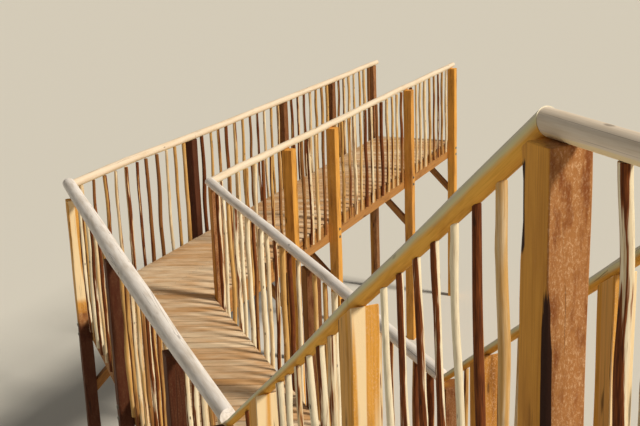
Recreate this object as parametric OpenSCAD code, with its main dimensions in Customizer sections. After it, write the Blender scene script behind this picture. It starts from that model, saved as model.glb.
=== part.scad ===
// Raised timber access walkway of a tree house: an upper landing, a stair down from it, a straight
// lower walk in line with the stair, and a branch that bends away from the walk's far end.
// Sawn posts stand on the ground and carry peeled log handrails, with crooked peeled poles between.
// Origin: centre of the foot of the left post at the stair's foot. +Y runs along the lower walk,
// away from the stair. +Z is up. Millimetres.

/* [Walk] */
// Distance between the left and right handrail lines
walk_w = 1090; // [900:10:1400]
// Height of the lower deck's top above the ground
deck_h = 2200; // [1500:50:3200]
// Length of the right handrail line, from the stair's foot to the bend
inner_corner_y = 4310; // [4100:10:4340]
// How far the branch's handrails run on past its last posts
rail_overhang = 120; // [60:10:200]

/* [Branch] */
// Angle by which the branch bends to the right of the walk
bend = 45; // [30:1:55]
// Length of the branch, from the bend's outer corner to its last posts
branch_l = 6850; // [6000:50:8000]
// Where the branch's first outer post stands along it
branch_first = 2020; // [1700:10:2300]

/* [Stair] */
// Angle by which the stair and the landing veer from the walk's line, towards the walk's right
stair_skew = 1.8; // [0:0.1:2.4]
// Height of the upper landing above the lower deck
stair_rise = 1825; // [1500:5:2200]
// Horizontal length of the stair, from the walk to the landing's nosing
stair_run = 2530; // [2300:10:3000]
// Number of risers
risers = 10; // [8:1:12]
// Thickness of a tread
tread_t = 40; // [30:1:60]
// Depth of a tread, front to back
tread_d = 280; // [260:5:320]
// Thickness of a stringer
stringer_t = 50; // [40:1:60]
// How far the stringer stands up past the line of the nosings
stringer_up = 30; // [10:5:60]
// How far the stringer reaches below the line of the nosings
stringer_down = 200; // [160:5:260]

/* [Landing] */
// Length of the upper landing
landing_l = 2200; // [1500:50:3000]

/* [Deck] */
// Thickness of the decks
deck_t = 30; // [20:1:45]
// Distance from a handrail line in to the decks' edge and the beams' outer face
edge_in = 20; // [15:1:40]
// Thickness of an edge beam
beam_t = 50; // [40:1:80]
// Depth of an edge beam
beam_d = 200; // [150:5:260]
// Thickness of a joist
joist_t = 50; // [40:1:80]
// Depth of a joist
joist_d = 150; // [100:5:180]
// How far the walk's deck and beams run on under the stair
deck_tail = 260; // [230:5:270]

/* [Posts] */
// Side of a square sawn post
post_s = 100; // [80:1:110]
// Side of the square posts at the stair's head
head_post_s = 110; // [100:1:120]
// Chamfer on a post's long edges
post_c = 4; // [1:0.5:10]
// Width of a knee brace, seen from the side
brace_w = 70; // [50:1:100]
// Thickness of a knee brace
brace_t = 60; // [40:1:80]
// How far a knee brace reaches in under the deck
brace_reach = 420; // [300:10:470]

/* [Railing] */
// Height of the handrails' underside above the deck, and of the posts' tops
rail_seat = 985; // [850:5:1100]
// Radius of the left walk handrail at the stair's foot
walk_left_r1 = 44; // [30:1:60]
// Radius of the left walk handrail at the bend
walk_left_r2 = 54; // [30:1:60]
// How much the left walk handrail's radius swells towards its middle
walk_left_belly = 12; // [0:1:16]
// Radius of the right walk handrail
walk_right_r = 38; // [30:1:50]
// Radius of the branch's handrails
branch_r = 37; // [28:1:45]
// Radius of the stair handrails at the stair's foot
stair_r1 = 19; // [16:1:26]
// Radius of the stair handrails where their lower and upper logs meet
stair_rj = 31; // [22:1:36]
// Radius of the stair handrails at the landing
stair_r2 = 34; // [24:1:40]
// Radius of the landing's handrails
landing_r = 34; // [28:1:45]
// Largest radius of a baluster pole on the stair and the landing
pole_r = 19; // [14:0.5:22]
// Largest radius of a baluster pole on the walk and the branch
walk_pole_r = 23; // [14:0.5:25]
// Distance between balusters on the walk and the branch
pole_pitch = 165; // [130:5:220]
// Distance between balusters on the stair and the landing, measured level
stair_pitch = 107; // [95:1:140]
// How far the balusters reach below the deck's top
pole_drop = 110; // [60:5:180]
// How far a baluster strays from a straight line
pole_stray = 7; // [0:1:14]

/* [Hidden] */

// Gap left where a round pole or a fitted piece meets its neighbour
seat_gap = 0.3;
// Sides and rings of a log's mesh, and of a baluster's
log_sides = 12;
log_rings = 8;
pole_sides = 6;

// The walk's and the branch's posts stand outside their beams, and so outside the handrail lines
post_out = post_s / 2 - edge_in;
// The stair's and the landing's posts stand under their handrails, with the stringers inside them
stair_in = post_s / 2;
inner_edge = edge_in + beam_t;
bend_half = tan(bend / 2);
rail_z = deck_h + rail_seat;
landing_z = deck_h + stair_rise;
stair_slope = stair_rise / stair_run;
riser = stair_rise / risers;
going = stair_run / risers;
landing_end = -stair_run - landing_l;
// How far the skew moves the walk's right corner along the walk
side_shift = walk_w * tan(stair_skew / 2);

// Posts along each handrail line, measured from the stair's foot or along the branch
walk_left_posts = [0, 980, 2715, inner_corner_y + 120];
walk_right_posts = [0, 1975, inner_corner_y - post_s / 2];
stair_left_posts = [-500, -1485, -stair_run - 30];
stair_right_posts = [-400, -1330, -stair_run - 30];
landing_posts = [landing_end + post_s / 2];
branch_outer_posts = [branch_first, 4080, 5460, branch_l];
branch_inner_posts = [1890, 2905, 5170, branch_l];
// Room left beside the posts before the first and after the last baluster of a bay
stair_room = [90, 125];
landing_room = [115, 125];
// Where one handrail log ends on a post and the next begins
stair_left_joint = stair_left_posts[1];
stair_right_joint = stair_right_posts[1];
branch_inner_joint = branch_inner_posts[1];

// The branch's own frame starts at the outer corner, where its outer line meets the walk's
outer_corner_y = inner_corner_y + walk_w * bend_half;
branch_origin = [0, outer_corner_y];
branch_along = [sin(bend), cos(bend)];
branch_across = [cos(bend), -sin(bend)];
function from_branch(p) = branch_origin + p[0] * branch_across + p[1] * branch_along;
// Points where the deck edges, or lines offset inside them, turn at the bend
function outer_turn(inset) = [inset, outer_corner_y - inset * bend_half];
function inner_turn(inset) = [walk_w - inset, inner_corner_y + inset * bend_half];

// Repeatable scatter from -1 to 1
function scatter(i, k) = sin(i * 137.5 + k * 83.1 + i * i * 7.3);
function unit(v) = v / norm(v);

// Underside of the stair's handrails at a place along the stair
function stair_seat(y) = rail_z - stair_slope * y;

module in_branch() {
    translate([branch_origin[0], branch_origin[1], 0]) rotate([0, 0, -bend]) children();
}
// The stair and the landing share a frame of their own, turned about the left handrails' corner
module in_stair() {
    rotate([0, 0, stair_skew]) children();
}
// The right-hand side of a leg is the mirror of its left-hand side
module right_side() {
    translate([walk_w, 0, 0]) mirror([1, 0, 0]) children();
}
// The stair's right-hand side starts where the skewed lines meet
module stair_right_side() {
    translate([0, -side_shift, 0]) right_side() children();
}
// The handrail lines are set in from the first post, which has the origin
module set_out() {
    translate([post_out, 0, 0]) children();
}

// One ring of points round a pole, flat side down
function ring(centre, r, side, up, sides) =
    [for (k = [0 : sides - 1]) centre + r * (cos((k + 0.5) * 360 / sides) * side
                                             + sin((k + 0.5) * 360 / sides) * up)];
// Slides a ring along its pole until it lies in a cutting plane
function cut_ring(points, along, at, normal) =
    [for (p = points) p + along * ((at - p) * normal) / (along * normal)];
// A closed skin over rings of points
module skin(rings) {
    n = len(rings[0]);
    last = len(rings) - 1;
    polyhedron(points = [for (r = rings) each r],
               faces = [[for (i = [0 : n - 1]) i],
                        [for (i = [n - 1 : -1 : 0]) last * n + i],
                        for (j = [0 : last - 1], i = [0 : n - 1])
                            [j * n + i, (j + 1) * n + i, (j + 1) * n + (i + 1) % n],
                        for (j = [0 : last - 1], i = [0 : n - 1])
                            [j * n + i, (j + 1) * n + (i + 1) % n, j * n + (i + 1) % n]]);
}

// A handrail log whose flat underside runs from seat a to seat b, bowed sideways and swollen by a
// belly at its middle, with its ends cut in planes through the seats
module log_rail(a, b, r_a, r_b, bow, cut_a, cut_b, belly = 0) {
    along = unit(b - a);
    side = unit([-along[1], along[0], 0]);
    up = cross(along, side);
    lift = cos(180 / log_sides);
    rings = [for (j = [0 : log_rings])
                 let (t = j / log_rings, r = r_a + (r_b - r_a) * t + belly * sin(180 * t))
                 ring(a + (b - a) * t + up * (r * lift + seat_gap) + side * bow * sin(180 * t),
                      r, side, up, log_sides)];
    skin([for (j = [0 : log_rings])
              j == 0 ? cut_ring(rings[j], along, a, cut_a)
              : j == log_rings ? cut_ring(rings[j], along, b, cut_b) : rings[j]]);
}

// A crooked peeled pole standing from foot to top, its foot against the face of a beam or a
// stringer, its top cut to the rail's slope
module pole(y, foot, top, slope, seed, face, r_max) {
    r = r_max * (0.86 + 0.14 * scatter(seed, 1));
    taper = 0.9;
    foot_x = face - r * cos(180 / pole_sides) - seat_gap;
    shares = [0, 0.35, 0.7, 1];
    x = [foot_x, foot_x * 0.72 - pole_stray * (0.6 + 0.4 * scatter(seed, 2)),
         foot_x * 0.3 - pole_stray * 0.5 * scatter(seed, 3), -pole_stray * 0.3 * scatter(seed, 4)];
    dy = [0, pole_stray * scatter(seed, 5), pole_stray * scatter(seed, 6), 0];
    rings = [for (j = [0 : 3])
                 ring([x[j], y + dy[j], foot + (top - foot) * shares[j]],
                      r * (1 - (1 - taper) * shares[j]), [1, 0, 0], [0, 1, 0], pole_sides)];
    skin([rings[0], rings[1], rings[2],
          cut_ring(rings[3], [0, 0, 1], [0, y, top], [0, slope, 1])]);
}

// Balusters spread over the bays between the given posts, past the room left beside them
module poles(stops, pitch, foot, top, slope, seed, face, r_max, room = [0, 0]) {
    for (b = [0 : len(stops) - 2]) {
        way = sign(stops[b + 1] - stops[b]);
        start = stops[b] + way * room[0];
        span = stops[b + 1] - way * room[1] - start;
        count = max(2, round(abs(span) / pitch));
        for (i = [1 : count - 1]) {
            n = seed + b * 31 + i;
            y = start + span * (i / count) + pitch * 0.07 * scatter(n, 7);
            pole(y, foot - slope * y, top - slope * y, slope, n, face, r_max);
        }
    }
}

// A square sawn post on the ground, set outside the handrail line
module post(y, top, out = post_out, size = post_s) {
    h = size / 2;
    c = h - post_c;
    translate([-out, y, 0])
        linear_extrude(top)
            polygon([[c, -h], [h, -c], [h, c], [c, h], [-c, h], [-h, c], [-h, -c], [-c, -h]]);
}
// A post under the sloping rail, its top cut to the slope. The stair's head has the thickest ones.
module stair_post(y) {
    reach = post_s * 2;
    size = y < -stair_run ? head_post_s : post_s;
    difference() {
        post(y, min(landing_z + rail_seat, stair_seat(y) + post_s), (size - post_s) / 2, size);
        translate([0, y, stair_seat(y)])
            rotate([-atan(stair_slope), 0, 0])
                translate([-reach / 2, -reach / 2, 0]) cube([reach, reach, reach * 2]);
    }
}

// A knee brace from a post's inner face up to the joist across the walk
module brace(y) {
    foot_z = deck_h - deck_t - joist_d - brace_reach;
    top_z = deck_h - deck_t - joist_d;
    translate([0, y + brace_t / 2, 0])
        rotate([90, 0, 0])
            linear_extrude(brace_t)
                polygon([[edge_in, foot_z], [edge_in, foot_z - brace_w * sqrt(2)],
                         [edge_in + brace_reach + brace_w * sqrt(2), top_z],
                         [edge_in + brace_reach, top_z]]);
}

// A flat plate from a plan outline, with its top at z
module slab(outline, z, t) {
    translate([0, 0, z - t]) linear_extrude(t) polygon(outline);
}
// A straight joist across a leg, from beam to beam
module cross_joist(y, x1, x2, z) {
    slab([[x1, y - joist_t / 2], [x2, y - joist_t / 2], [x2, y + joist_t / 2], [x1, y + joist_t / 2]],
         z, joist_d);
}

module posts_landing() {
    color("peru") set_out() in_stair() {
        for (y = landing_posts) {
            post(y, landing_z + rail_seat, 0);
            right_side() post(y, landing_z + rail_seat, 0);
        }
    }
}
module posts_stair_left() {
    color("peru") set_out() in_stair() for (y = stair_left_posts) stair_post(y);
}
module posts_stair_right() {
    color("peru") set_out() in_stair() stair_right_side() for (y = stair_right_posts) stair_post(y);
}
module posts_walk_left() {
    color("sienna") set_out() for (y = walk_left_posts) post(y, rail_z);
}
module posts_walk_right() {
    color("sienna") set_out() right_side() for (y = walk_right_posts) post(y, rail_z);
}
module posts_branch_outer() {
    color("sienna") set_out() in_branch() for (y = branch_outer_posts) post(y, rail_z);
}
module posts_branch_inner() {
    color("sienna") set_out() in_branch() right_side() for (y = branch_inner_posts) post(y, rail_z);
}

// The handrails' mitre planes: at the stair's foot in both frames, at its head, and at the bend
stair_dir = unit([0, -stair_run, stair_rise]);
foot_cut = [0, 1, 0] - [-stair_dir[1] * sin(stair_skew), stair_dir[1] * cos(stair_skew), stair_dir[2]];
stair_foot_cut = [sin(stair_skew), cos(stair_skew), 0] - stair_dir;
head_cut = [0, -1, 0] + stair_dir;
bend_cut = [branch_along[0], branch_along[1] + 1, 0];
square_cut = [0, 1, 0];
branch_cut = [branch_along[0], branch_along[1], 0];

// Seats of the handrails, as points on the handrail lines
function walk_seat(x, y) = [x, y, rail_z];
function slope_seat(x, y) = [x, y, stair_seat(y)];
function landing_seat(x, y) = [x, y, landing_z + rail_seat];
function branch_seat(x, y) = [from_branch([x, y])[0], from_branch([x, y])[1], rail_z];

// A stair handrail on the line at x, which starts with the stair's foot moved by shift
module stair_rail(x, joint, upper, shift) {
    translate([0, -shift, 0])
        if (upper)
            log_rail(slope_seat(x, joint - seat_gap), slope_seat(x, -stair_run), stair_rj, stair_r2, 6,
                     stair_dir, head_cut);
        else
            log_rail(slope_seat(x, 0), slope_seat(x, joint), stair_r1, stair_rj, 8, stair_foot_cut,
                     stair_dir);
}
module landing_rail(x, start, bow) {
    log_rail(landing_seat(x, start - seat_gap), landing_seat(x, landing_end), landing_r - 1,
             landing_r + 2, bow, head_cut, square_cut);
}
module handrail_landing_left() {
    color("antiquewhite") set_out() in_stair() landing_rail(0, -stair_run, 6);
}
module handrail_landing_right() {
    color("antiquewhite") set_out() in_stair() landing_rail(walk_w, -stair_run - side_shift, -8);
}
module handrail_stair_left_upper() {
    color("antiquewhite") set_out() in_stair() stair_rail(0, stair_left_joint, true, 0);
}
module handrail_stair_left_lower() {
    color("antiquewhite") set_out() in_stair() stair_rail(0, stair_left_joint, false, 0);
}
module handrail_stair_right_upper() {
    color("antiquewhite") set_out() in_stair() stair_rail(walk_w, stair_right_joint, true, side_shift);
}
module handrail_stair_right_lower() {
    color("antiquewhite") set_out() in_stair() stair_rail(walk_w, stair_right_joint, false, side_shift);
}
module handrail_walk_left() {
    color("antiquewhite") set_out()
        log_rail(walk_seat(0, seat_gap), walk_seat(0, outer_corner_y), walk_left_r1, walk_left_r2, 20,
                 foot_cut, bend_cut, walk_left_belly);
}
module handrail_walk_right() {
    color("antiquewhite") set_out()
        log_rail(walk_seat(walk_w, side_shift + seat_gap), walk_seat(walk_w, inner_corner_y),
                 walk_right_r - 2, walk_right_r + 2, -10, foot_cut, bend_cut);
}
module handrail_branch_outer_near() {
    start = [0, outer_corner_y, rail_z] + seat_gap * bend_cut;
    color("antiquewhite") set_out()
        log_rail(start, branch_seat(0, branch_first), branch_r + 1, branch_r, 22, bend_cut, branch_cut);
}
module handrail_branch_outer_far() {
    color("antiquewhite") set_out()
        log_rail(branch_seat(0, branch_first + seat_gap), branch_seat(0, branch_l + rail_overhang),
                 branch_r, branch_r - 4, -12, branch_cut, branch_cut);
}
module handrail_branch_inner_near() {
    start = [walk_w, inner_corner_y, rail_z] + seat_gap * branch_cut;
    color("antiquewhite") set_out()
        log_rail(start, branch_seat(walk_w, branch_inner_joint), branch_r, branch_r - 2, 8, bend_cut,
                 branch_cut);
}
module handrail_branch_inner_far() {
    color("antiquewhite") set_out()
        log_rail(branch_seat(walk_w, branch_inner_joint + seat_gap),
                 branch_seat(walk_w, branch_l + rail_overhang), branch_r - 1, branch_r - 4, 12, branch_cut,
                 branch_cut);
}

module landing_poles(start, seed) {
    poles(concat([start], landing_posts), stair_pitch, landing_z - pole_drop, landing_z + rail_seat, 0,
          seed, stair_in, pole_r, landing_room);
}
module stair_poles(stops, seed) {
    poles(concat([-post_s], stops), stair_pitch, deck_h + stringer_up - pole_drop, rail_z, stair_slope,
          seed, stair_in, pole_r, stair_room);
}
module balusters_landing_left() {
    color("burlywood") set_out() in_stair() landing_poles(stair_left_posts[2], 500);
}
module balusters_landing_right() {
    color("burlywood") set_out() in_stair() right_side()
        landing_poles(stair_right_posts[2] - side_shift, 560);
}
module balusters_stair_left() {
    color("burlywood") set_out() in_stair() stair_poles(stair_left_posts, 0);
}
module balusters_stair_right() {
    color("burlywood") set_out() in_stair() stair_right_side() stair_poles(stair_right_posts, 100);
}
module balusters_walk_left() {
    color("burlywood") set_out()
        poles(concat(walk_left_posts, [outer_corner_y]), pole_pitch, deck_h - pole_drop, rail_z, 0, 200,
              edge_in, walk_pole_r);
}
module balusters_walk_right() {
    color("burlywood") set_out() right_side()
        poles(walk_right_posts, pole_pitch, deck_h - pole_drop, rail_z, 0, 260, edge_in, walk_pole_r);
}
module branch_poles(stops, seed) {
    poles(stops, pole_pitch, deck_h - pole_drop, rail_z, 0, seed, edge_in, walk_pole_r);
}
module balusters_branch_outer() {
    color("burlywood") set_out() in_branch() branch_poles(concat([0], branch_outer_posts), 320);
}
module balusters_branch_inner() {
    color("burlywood") set_out() in_branch() right_side()
        branch_poles(concat([walk_w * bend_half + post_s / 4], branch_inner_posts), 430);
}

module deck_landing() {
    color("tan") set_out() in_stair()
        slab([[stair_in, -stair_run], [walk_w - stair_in, -stair_run], [walk_w - stair_in, landing_end],
              [stair_in, landing_end]], landing_z, deck_t);
}
module deck_walk() {
    color("tan") set_out()
        slab([[edge_in, -deck_tail], [walk_w - edge_in, -deck_tail], inner_turn(edge_in),
              outer_turn(edge_in)], deck_h, deck_t);
}
module deck_branch() {
    end = branch_l + post_s / 2;
    color("tan") set_out()
        slab([outer_turn(edge_in), inner_turn(edge_in), from_branch([walk_w - edge_in, end]),
              from_branch([edge_in, end])], deck_h, deck_t);
}

module beams_landing() {
    start = -stair_run - stringer_gap;
    color("darkgoldenrod") set_out() in_stair()
        for (x = [stair_in, walk_w - stair_in - beam_t])
            slab([[x, start], [x + beam_t, start], [x + beam_t, landing_end], [x, landing_end]],
                 landing_z - deck_t, beam_d);
}
module beams_walk() {
    color("darkgoldenrod") set_out() {
        slab([[edge_in, -deck_tail], [inner_edge, -deck_tail], outer_turn(inner_edge), outer_turn(edge_in)],
             deck_h - deck_t, beam_d);
        slab([[walk_w - inner_edge, -deck_tail], [walk_w - edge_in, -deck_tail], inner_turn(edge_in),
              inner_turn(inner_edge)], deck_h - deck_t, beam_d);
    }
}
module beams_branch() {
    end = branch_l + post_s / 2;
    color("darkgoldenrod") set_out() {
        slab([outer_turn(edge_in), outer_turn(inner_edge), from_branch([inner_edge, end]),
              from_branch([edge_in, end])], deck_h - deck_t, beam_d);
        slab([inner_turn(inner_edge), inner_turn(edge_in), from_branch([walk_w - edge_in, end]),
              from_branch([walk_w - inner_edge, end])], deck_h - deck_t, beam_d);
    }
}

// A centre joist with cross joists at the posts, which together carry the boards
module joists_landing() {
    z = landing_z - deck_t;
    start = -stair_run - stringer_gap;
    middle = walk_w / 2;
    inside = stair_in + beam_t;
    color("darkgoldenrod") set_out() in_stair() {
        slab([[middle - joist_t / 2, start], [middle + joist_t / 2, start],
              [middle + joist_t / 2, landing_end], [middle - joist_t / 2, landing_end]], z, joist_d);
        for (y = [start - joist_t / 2, (landing_end - stair_run) / 2, landing_end + joist_t / 2])
            cross_joist(y, inside, walk_w - inside, z);
    }
}
module joists_walk() {
    z = deck_h - deck_t;
    middle_y = (outer_turn(walk_w / 2)[1] + inner_turn(walk_w / 2)[1]) / 2;
    stations = concat([-deck_tail + joist_t / 2], walk_left_posts,
                      [walk_right_posts[1], walk_right_posts[2]]);
    color("darkgoldenrod") set_out() {
        slab([[(walk_w - joist_t) / 2, -deck_tail], [(walk_w + joist_t) / 2, -deck_tail],
              [(walk_w + joist_t) / 2, middle_y], [(walk_w - joist_t) / 2, middle_y]], z, joist_d);
        for (y = stations) cross_joist(y, inner_edge, walk_w - inner_edge, z);
    }
}
module joists_branch() {
    z = deck_h - deck_t;
    color("darkgoldenrod") set_out() in_branch() {
        slab([[(walk_w - joist_t) / 2, walk_w * bend_half / 2 + joist_t],
              [(walk_w + joist_t) / 2, walk_w * bend_half / 2 + joist_t],
              [(walk_w + joist_t) / 2, branch_l], [(walk_w - joist_t) / 2, branch_l]], z, joist_d);
        for (y = concat(branch_outer_posts, [branch_inner_posts[0], branch_inner_posts[1],
                                             branch_inner_posts[2]]))
            cross_joist(y, inner_edge, walk_w - inner_edge, z);
    }
}

// Clearance between the landing's nosing and the beams that the stringers lean on
stringer_gap = 10;
module stringer() {
    head = stair_run + stringer_gap;
    foot = stringer_gap * 2;
    function nosing(y) = deck_h + stair_slope * y;
    translate([stair_in + stringer_t, 0, 0])
        rotate([90, 0, -90])
            linear_extrude(stringer_t)
                polygon([[foot, deck_h], [foot, nosing(foot) + stringer_up],
                         [(stair_rise - stringer_up - deck_t) / stair_slope, landing_z - deck_t],
                         [head, landing_z - deck_t], [head, nosing(head) - stringer_down],
                         [stringer_down / stair_slope, deck_h]]);
}
module stringer_left() {
    color("darkgoldenrod") set_out() in_stair() stringer();
}
module stringer_right() {
    color("darkgoldenrod") set_out() in_stair() right_side() stringer();
}
module stair_treads() {
    side = stair_in + stringer_t;
    color("tan") set_out() in_stair()
        for (i = [1 : risers - 1])
            translate([side, -going * i - tread_d, deck_h + riser * i - tread_t])
                cube([walk_w - side * 2, tread_d, tread_t]);
}

module braces_walk() {
    color("saddlebrown") set_out() {
        for (y = [for (i = [1 : 3]) walk_left_posts[i]]) brace(y);
        right_side() for (y = [for (i = [1 : 2]) walk_right_posts[i]]) brace(y);
    }
}
module braces_branch() {
    color("saddlebrown") set_out() in_branch() {
        for (y = branch_outer_posts) brace(y);
        right_side() for (y = branch_inner_posts) brace(y);
    }
}

posts_landing();
posts_stair_left();
posts_stair_right();
posts_walk_left();
posts_walk_right();
posts_branch_outer();
posts_branch_inner();
handrail_landing_left();
handrail_landing_right();
handrail_stair_left_upper();
handrail_stair_left_lower();
handrail_stair_right_upper();
handrail_stair_right_lower();
handrail_walk_left();
handrail_walk_right();
handrail_branch_outer_near();
handrail_branch_outer_far();
handrail_branch_inner_near();
handrail_branch_inner_far();
balusters_landing_left();
balusters_landing_right();
balusters_stair_left();
balusters_stair_right();
balusters_walk_left();
balusters_walk_right();
balusters_branch_outer();
balusters_branch_inner();
deck_landing();
deck_walk();
deck_branch();
beams_landing();
beams_walk();
beams_branch();
joists_landing();
joists_walk();
joists_branch();
stringer_left();
stringer_right();
stair_treads();
braces_walk();
braces_branch();
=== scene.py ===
"""Looks of a tree house's raised timber walkway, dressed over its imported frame.

Every piece is laid on the solids of the frame: the logs and poles are grown round the centre lines of
the solids that they stand for, the boards are cut to the outline of each deck, and the sawn timbers
keep the solids' edges. All sizes are in metres unless a name ends in _mm.
"""

import logging
import math
import random
from dataclasses import dataclass, field
from enum import Enum

import bmesh
import bpy
import numpy as np
from mathutils import Matrix, Vector


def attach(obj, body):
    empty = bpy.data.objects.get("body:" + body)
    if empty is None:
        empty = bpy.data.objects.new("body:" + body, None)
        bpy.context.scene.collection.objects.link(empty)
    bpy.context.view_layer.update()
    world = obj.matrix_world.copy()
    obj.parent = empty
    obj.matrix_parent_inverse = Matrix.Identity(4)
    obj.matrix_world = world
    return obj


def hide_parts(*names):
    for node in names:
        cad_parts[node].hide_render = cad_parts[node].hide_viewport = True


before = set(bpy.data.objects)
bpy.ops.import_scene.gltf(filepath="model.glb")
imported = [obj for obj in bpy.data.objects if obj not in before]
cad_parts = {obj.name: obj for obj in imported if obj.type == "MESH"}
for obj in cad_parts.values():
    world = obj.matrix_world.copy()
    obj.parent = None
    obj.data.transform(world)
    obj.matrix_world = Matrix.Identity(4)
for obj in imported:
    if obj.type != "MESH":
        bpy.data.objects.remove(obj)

log = logging.getLogger("walkway")
MM = 0.001
Colour = str | bpy.types.NodeSocket
Number = float | bpy.types.NodeSocket

# settings of shader nodes that come back often
PLUS = {"operation": "ADD"}
MINUS = {"operation": "SUBTRACT"}
TIMES = {"operation": "MULTIPLY"}
SMOOTH = {"interpolation_type": "SMOOTHSTEP"}
COLOUR = {"data_type": "RGBA", "out": 2}


def linear(code: str) -> tuple[float, float, float, float]:
    """Turns an sRGB hex code into linear light.

    Args:
        code: Six hex digits, such as "C98A3E".

    Returns:
        Red, green, blue and an alpha of 1.
    """
    parts = [int(code[i:i + 2], 16) / 255 for i in (0, 2, 4)]
    light = [p / 12.92 if p <= 0.04045 else ((p + 0.055) / 1.055) ** 2.4 for p in parts]
    return (light[0], light[1], light[2], 1.0)


def add(tree: bpy.types.NodeTree, kind: str, inputs: dict | list | None = None, out: int | str = 0,
        **settings: object) -> bpy.types.NodeSocket:
    """Adds a shader node with its settings and links.

    Args:
        tree: The node tree that takes it.
        kind: Blender's name of the node type, without its ShaderNode prefix.
        inputs: A value, or the socket to link from, for each input in order, or by its name or number.
        out: The output to return, by its name or number.
        settings: The node's own settings by name.

    Returns:
        One output of the new node.
    """
    node = tree.nodes.new("ShaderNode" + kind)
    for name, value in settings.items():
        setattr(node, name, value)
    for key, value in (inputs.items() if isinstance(inputs, dict) else enumerate(inputs or [])):
        if isinstance(value, bpy.types.NodeSocket):
            tree.links.new(value, node.inputs[key])
        else:
            node.inputs[key].default_value = value
    return node.outputs[out]


class Stretch(Enum):
    """The stretches of the walkway, as the second word of a node's name gives them."""

    LANDING = "landing"
    STAIR = "stair"
    WALK = "walk"
    BRANCH = "branch"

    @classmethod
    def of(cls, node: str) -> "Stretch":
        """Returns the stretch that a node belongs to."""
        return cls(node.split("_")[1])


# --- Finishes -------------------------------------------------------------------------------------

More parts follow.
